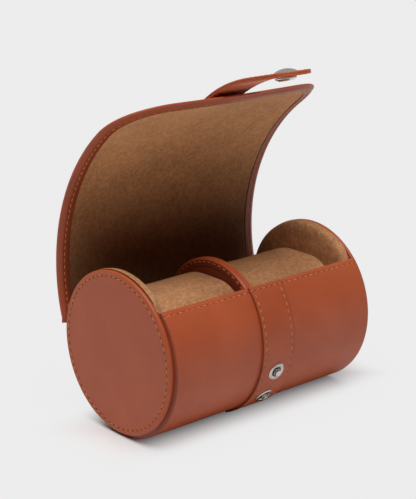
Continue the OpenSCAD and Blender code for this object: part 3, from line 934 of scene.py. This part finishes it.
def end_pad(side, word):
    """A padded suede disc whose face is crowned as r^4 and whose rim is a quarter ellipse, wider where
    the wall leaves it free, then puffed."""
    wide, deep, small = 8.0, 2.8, 0.5
    r = np.linspace(1.5, PAD_R - small - wide, 12)
    face = PAD_T - small - 0.3 * (r / PAD_R) ** 4
    turn = np.linspace(0, math.pi / 2, 9)[1:]
    rim_r = PAD_R - small - wide + wide * np.sin(turn)
    rim = face[-1] - deep + deep * np.cos(turn)
    back = [[PAD_R - 0.1, 0.9], [PAD_R, 0.2], [PAD_R, -1.1], [PAD_R - 0.3, -1.4]]
    back = np.array(back + [[PAD_R - 0.3, 0.02], [0.5, 0.02]])
    profile = np.concatenate([np.stack([r, face], -1), np.stack([rim_r, rim], -1), back])
    made = revolved(f"end_pad_suede_{word}", profile, -side, PILLOW, side * PAD_BASE_X, 110)
    at = values(made.data, "co")
    y, z = at[:, 1], at[:, 2] - AXIS_H * MM
    r, turn = np.hypot(y, z) / MM, np.degrees(np.arctan2(z, y))
    free = ease((turn - HINGE_DEG - 2) / 8) * ease((FRONT_DEG - 2 - turn) / 8)
    wider = 1 + 1.9 * free * ease((r - 36) / 10) / np.maximum(r, 1)
    at[:, 1], at[:, 2] = y * wider, AXIS_H * MM + z * wider
    moved(made.data, at)
    puffed(made, lambda p: side * (PAD_BASE_X * side - p[:, 0]) < 1.0, cap=0.5, pressure=4.0)
    dented(made, 0.25)
    case_piece(made, "suede_lining", f"end_pad_{word}")


for side, word in ((-1, "left"), (1, "right")):
    cushion(side, word)
    end_pad(side, word)


# ---- Lid ----
HEM_RIM = [0, 0.05, 0.18, 0.4, 0.75, 1.2, 1.8, 2.8, 3.6, 3.95, 4.2, 4.45, 4.8, 5.8]
HEM_RIM += [7.0, 7.3, 7.5, 7.7, 8.0, 9.0, 12.0]
LID_BODIES = ["case"] + [f"lid_{i}" for i in range(1, PANELS + 1)]
CUTS = [-3.0] + [PANEL * (i + 0.5) for i in range(PANELS - 1)] + [LID_END]
BLEND = 12.0


def bend(made, line, crease, a, b, before=BLEND, after=BLEND):
    """Bakes the piece's placement into its mesh; the piece is not turned across the crease. a and b are not
    used.
    """
    start = line.at(crease - before)
    stop = line.at(crease + after)
    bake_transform(made)


def lid_hide(i):
    """One length of the lid's hide: full thickness in the turned hem, thin behind the lining."""
    s0, s1 = CUTS[i], CUTS[i + 1]
    last = i == PANELS - 1

    def outer(d, s, x):
        at_wall = ease((2.5 - s) / 4.5)
        base = -LID_HALF_T + (LID_HALF_T - 0.28) * at_wall
        return base + bow(d, 0.6) * (1 - 0.6 * at_wall) + dip(d, HEM_ROW, 1.2, 0.2)

    def inner(d, s, x):
        hem = LID_HALF_T - 1.7 * ease((2.8 - d) / 2.8) - bow(d, 0.3) - dip(d, HEM_ROW, 1.2, 0.22)
        step = BEHIND_SUEDE + (hem - BEHIND_SUEDE) * ease((HEM_W + 0.5 - d) / 0.5)
        v = np.where(d < HEM_W, hem, step)
        return np.where(s < 2.5, np.minimum(v, v - 0.4 * ease((2.5 - s) / 4.5)), v)

    def hem_painted_shade(d, s, x):
        """Painted shade on the turned hem: darker inside the edge, and again inside its stitches."""
        return 0.3 * ease((d - 0.3) / 0.5) + 0.3 * ease((d - HEM_ROW - 0.4) / 0.6)

    s = spread(s0, s1, 1.0)
    if last:
        s = np.concatenate([spread(s0, s1 - 11.0, 1.2)[:-1], s1 - np.array(HEM_RIM)[::-1]])
    look = dict(corner=LID_CORNER if last else 0, painted_shade_and_dye=(hem_painted_shade, flat))
    made = slab(f"lid_hide_{i}", LID, CASE_HALF, s, HEM_RIM, 1.4, inner, outer, TAN, **look)
    return made


def lid_lining(i):
    """One length of the suede inside the hem."""
    s0, s1 = CUTS[i], CUTS[i + 1]
    last = i == PANELS - 1
    inset = HEM_W - 0.4
    s1 = s1 - inset if last else s1
    half = CASE_HALF - inset

    def inner(d, s, x):
        v = 1.12 - bow(d, 0.8) + 0.05 * np.sin(x * 0.11 + s * 0.07)
        return v + 2.4 * ease((2.0 - s) / 4.5)

    def outer(d, s, x):
        return 0.25 + 0 * d

    def lining_painted_shade(d, s, x):
        """Painted shade: the suede darkens towards the crease, deep inside the lid."""
        return 0.74 * ease(1.0 - s / (0.75 * LID_END))

    rim = [0, 0.1, 0.3, 0.8, 2.0]
    s = ending(s0, s1, 1.4, rim) if last else spread(s0, s1, 1.4)
    look = dict(corner=LID_CORNER - inset if last else 0, painted_shade_and_dye=(lining_painted_shade, lining_painted_shade))
    made = slab(f"lid_suede_{i}", LID, half, s, rim, 1.6, inner, outer, SUEDE, **look)
    return made


def lid_stitches(i):
    """The hem's row on the lid's two faces, along its sides and round its free edge."""
    corner = LID_CORNER if i == PANELS - 1 else 0
    s, x, ways = edge_row(LID, CASE_HALF, HEM_ROW, max(CUTS[i], 1.0), CUTS[i + 1], corner)
    parts = [
        stitches("in", LID.at(s, x, LID_HALF_T - SUNK), ways, LID.inward(s)),
        stitches("out", LID.at(s, x, -LID_HALF_T + SUNK), ways, -LID.inward(s)),
    ]
    return joined(f"lid_stitching_{i}", parts)


AT_WALL = (2.8, 5.0)
for i in range(PANELS):
    reach = AT_WALL if i == 0 else (BLEND, BLEND)
    for make, node in ((lid_hide, "lid_leather"), (lid_lining, "lid_lining"), (lid_stitches, None)):
        piece = make(i)
        bend(piece, LID, i * PANEL, LID_BODIES[i], LID_BODIES[i + 1], *reach)
        if node:
            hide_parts(f"{node}_{i + 1}")


# ---- Band over the lid, and the strap ----
BAND_BODIES = LID_BODIES + ["strap_root", "strap_mid", "strap_tip"]
BAND_CREASES = [i * PANEL for i in range(PANELS)] + STRAP_CREASES
BAND_CUTS = [-3.0] + [(a + b) / 2 for a, b in zip(BAND_CREASES[:-1], BAND_CREASES[1:])] + [STRAP_END]


def strap_half(s):
    """Half the thickness, which grows from the band's to the strap's before it leaves the lid."""
    return BAND_T / 2 + (STRAP_T / 2 - BAND_T / 2) * ease((s - STRAP_START + 8) / 8)


def strap_strip(i, layer):
    """One length of the band and strap: the outer leather, or the under leather of the free strap."""
    s0, s1 = BAND_CUTS[i], BAND_CUTS[i + 1]
    last = i == len(BAND_CUTS) - 2
    edge = STRAP_START

    def outer(d, s, x):
        at_wall = ease((2.5 - s) / 4.5)
        v = -strap_half(s) + bow(d, 0.5) + dip(d, BAND_ROW, 1.3, 0.18)
        return v + at_wall * (LID_HALF_T - 0.28)

    def inner(d, s, x):
        at_wall = ease((2.5 - s) / 4.5)
        v = BAND_T / 2 - 0.04 + (-0.02 - (BAND_T / 2 - 0.04)) * ease((s - edge + 1) / 3)
        return v - bow(d, 0.25) * ease((s - edge + 1) / 3) + at_wall * (LID_HALF_T - 0.28)

    def under_in(d, s, x):
        v = STRAP_T / 2 * ease((s - edge + 1.5) / 3) - bow(d, 0.5) * 0.9
        return v - dip(d, BAND_ROW, 1.3, 0.18)

    def under_out(d, s, x):
        return 0.02 + bow(d, 0.25)

    faces, name = (inner, outer), f"strap_hide_{i}"
    if layer == "under":
        faces, name = (under_in, under_out), f"strap_back_{i}"
        s0 = max(s0, STRAP_START - 1.5)
    s = ending(s0, s1, 0.8, BAND_RIM) if last else spread(s0, s1, 0.8)
    return slab(name, BAND, BAND_W / 2, s, BAND_RIM, 1.2, *faces, STRAP_LEATHER, TIP_CORNER if last else 0)


def strap_stitches(i):
    """Rows along both edges and round the tip, on the outer face and under the free strap."""
    corner = TIP_CORNER if i == len(BAND_CUTS) - 2 else 0
    s, x, ways = edge_row(BAND, BAND_W / 2, BAND_ROW, max(BAND_CUTS[i], 1.0), BAND_CUTS[i + 1], corner)
    parts = [stitches("out", BAND.at(s, x, STRAP_SUNK - strap_half(s)), ways, -BAND.inward(s))]
    free = s > STRAP_START + 1.5
    if free.any():
        under = BAND.at(s[free], x[free], STRAP_T / 2 - STRAP_SUNK)
        parts.append(stitches("in", under, ways[free], BAND.inward(s[free])))
    return joined(f"strap_stitching_{i}", parts)


BAND_BENDS = {0: AT_WALL, 4: (BLEND, 6.8), 5: (6.8, 8.0), 6: (8.0, 8.0), 7: (8.0, 8.0)}
STRAP_NODES = {6: "strap_root", 7: "strap_mid", 8: "strap_tip"}
for i in range(len(BAND_CUTS) - 1):
    made = [strap_strip(i, "top"), strap_stitches(i)]
    if i >= 5:
        made.append(strap_strip(i, "under"))
    a, b = BAND_BODIES[i], BAND_BODIES[i + 1]
    before, after = BAND_BENDS.get(i, (BLEND, BLEND))
    for piece in made:
        bend(piece, BAND, BAND_CREASES[i], a, b, before, after)
    if 1 <= i <= 5:
        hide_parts(f"lid_band_{i}")
    if i >= 5:
        node = STRAP_NODES[i + 1]
        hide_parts(node)
        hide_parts(node + "_lining")

# ---- Solids that stay ----
KEPT = {
    "stud_upper": stud_metal("upper_stud_nickel", (212, 208, 202), 18),
    "stud_lower": stud_metal("lower_stud_nickel", (212, 208, 202), 41),
    "stud_rivets": NICKEL,
    "snap_cap": NICKEL,
    "snap_socket": NICKEL,
    "divider_board": BOARD,
    "divider_faces": SHADED_INSIDE,
    "wall_board": BOARD,
    "end_board_left": BOUND,
    "end_board_right": BOUND,
    "cushion_core_left": FOAM,
    "cushion_core_right": FOAM,
}
for node, material in KEPT.items():
    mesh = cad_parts[node].data
    mesh.materials.clear()
    mesh.materials.append(material)

# ---- Stage ----
scene = bpy.context.scene
scene.view_settings.view_transform = "Standard"


PAPER = linear(237, 237, 237)


def white_card(near, far, reach=38.0):
    """Matt white paper, which the camera sees partly at its own even tone: by the share near under the
    case, rising to the share far at a distance of reach."""
    f = Finish("white_card", 1.0, Base_Color=PAPER, Specular_IOR_Level=0.0)
    split = f.node("ShaderNodeSeparateXYZ")
    f.link(f.place, split.inputs[0])
    widest = f.node("ShaderNodeMath", operation="MAXIMUM")
    for k, (axis, half) in enumerate((("X", CASE_HALF), ("Y", 6.0))):
        size = f.node("ShaderNodeMath", operation="ABSOLUTE")
        gap = f.node("ShaderNodeMapRange")
        gap.inputs["From Min"].default_value = half * MM
        gap.inputs["From Max"].default_value = (half + reach) * MM
        f.link(split.outputs[axis], size.inputs[0])
        f.link(size.outputs[0], gap.inputs["Value"])
        f.link(gap.outputs["Result"], widest.inputs[k])
    share = f.node("ShaderNodeMapRange", interpolation_type="SMOOTHSTEP")
    share.inputs["To Min"].default_value = near
    share.inputs["To Max"].default_value = far
    f.link(widest.outputs[0], share.inputs["Value"])
    part = f.node("ShaderNodeMath", operation="MULTIPLY")
    f.link(f.node("ShaderNodeLightPath").outputs["Is Camera Ray"], part.inputs[0])
    f.link(share.outputs["Result"], part.inputs[1])
    mix = f.node("ShaderNodeMixShader")
    f.link(part.outputs[0], mix.inputs["Fac"])
    f.link(f.shader.outputs[0], mix.inputs[1])
    f.link(f.node("ShaderNodeEmission", Color=PAPER).outputs[0], mix.inputs[2])
    f.link(mix.outputs[0], f.tree.nodes["Material Output"].inputs["Surface"])
    return f.made


def floor():
    """A flat sheet of card under the case."""
    size = 3.0
    mesh = bpy.data.meshes.new("floor")
    corners = [(-size, -size, 0), (size, -size, 0), (size, size, 0), (-size, size, 0)]
    mesh.from_pydata(corners, [], [(0, 1, 2, 3)])
    mesh.materials.append(white_card(near=0.0, far=0.96))
    made = bpy.data.objects.new("floor", mesh)
    scene.collection.objects.link(made)


def sun(name, from_deg, height_deg, strength, spread_deg):
    """Even light from one side, given by its compass angle from +X and its height."""
    data = bpy.data.lights.new(name, "SUN")
    data.energy = strength
    data.angle = math.radians(spread_deg)
    made = bpy.data.objects.new(name, data)
    scene.collection.objects.link(made)
    made.rotation_euler = (0, math.radians(90 - height_deg), math.radians(from_deg))


def surroundings(lit, seen, shine):
    """White all round: lit is its strength as light, seen the tone behind the case, and shine the share
    of that tone that gloss shows."""
    world = bpy.data.worlds.new("studio")
    scene.world = world
    world.use_nodes = True
    tree = world.node_tree
    tree.nodes.clear()
    out = tree.nodes.new("ShaderNodeOutputWorld")
    mix = tree.nodes.new("ShaderNodeMixShader")
    soft = tree.nodes.new("ShaderNodeBackground")
    soft.inputs["Strength"].default_value = lit
    soft.inputs["Color"].default_value = (1, 1, 1, 1)
    back = tree.nodes.new("ShaderNodeBackground")
    back.inputs["Color"].default_value = seen
    path = tree.nodes.new("ShaderNodeLightPath")
    either = tree.nodes.new("ShaderNodeMath")
    either.operation = "MAXIMUM"
    tree.links.new(path.outputs["Is Camera Ray"], either.inputs[0])
    part = tree.nodes.new("ShaderNodeMath")
    part.operation = "MULTIPLY"
    part.inputs[1].default_value = shine
    tree.links.new(path.outputs["Is Glossy Ray"], part.inputs[0])
    tree.links.new(part.outputs[0], either.inputs[1])
    tree.links.new(either.outputs[0], mix.inputs["Fac"])
    tree.links.new(soft.outputs[0], mix.inputs[1])
    tree.links.new(back.outputs[0], mix.inputs[2])
    tree.links.new(mix.outputs[0], out.inputs["Surface"])


floor()
sun("overhead", from_deg=225, height_deg=76, strength=2.9, spread_deg=45)
surroundings(lit=0.03, seen=PAPER, shine=0.45)

# ---- Camera ----
YAW_DEG, DOWN_DEG = 40.92, 17.62
SENSOR = 36.0
camera = bpy.data.cameras.new("camera")
camera.sensor_width = SENSOR
camera.lens = SENSOR * 1570 / 499
camera_object = bpy.data.objects.new("camera", camera)
scene.collection.objects.link(camera_object)
camera_object.location = (-0.577, -0.6554, 0.3723)
camera_object.rotation_euler = (math.radians(90 - DOWN_DEG), 0, math.radians(-YAW_DEG))
scene.camera = camera_object
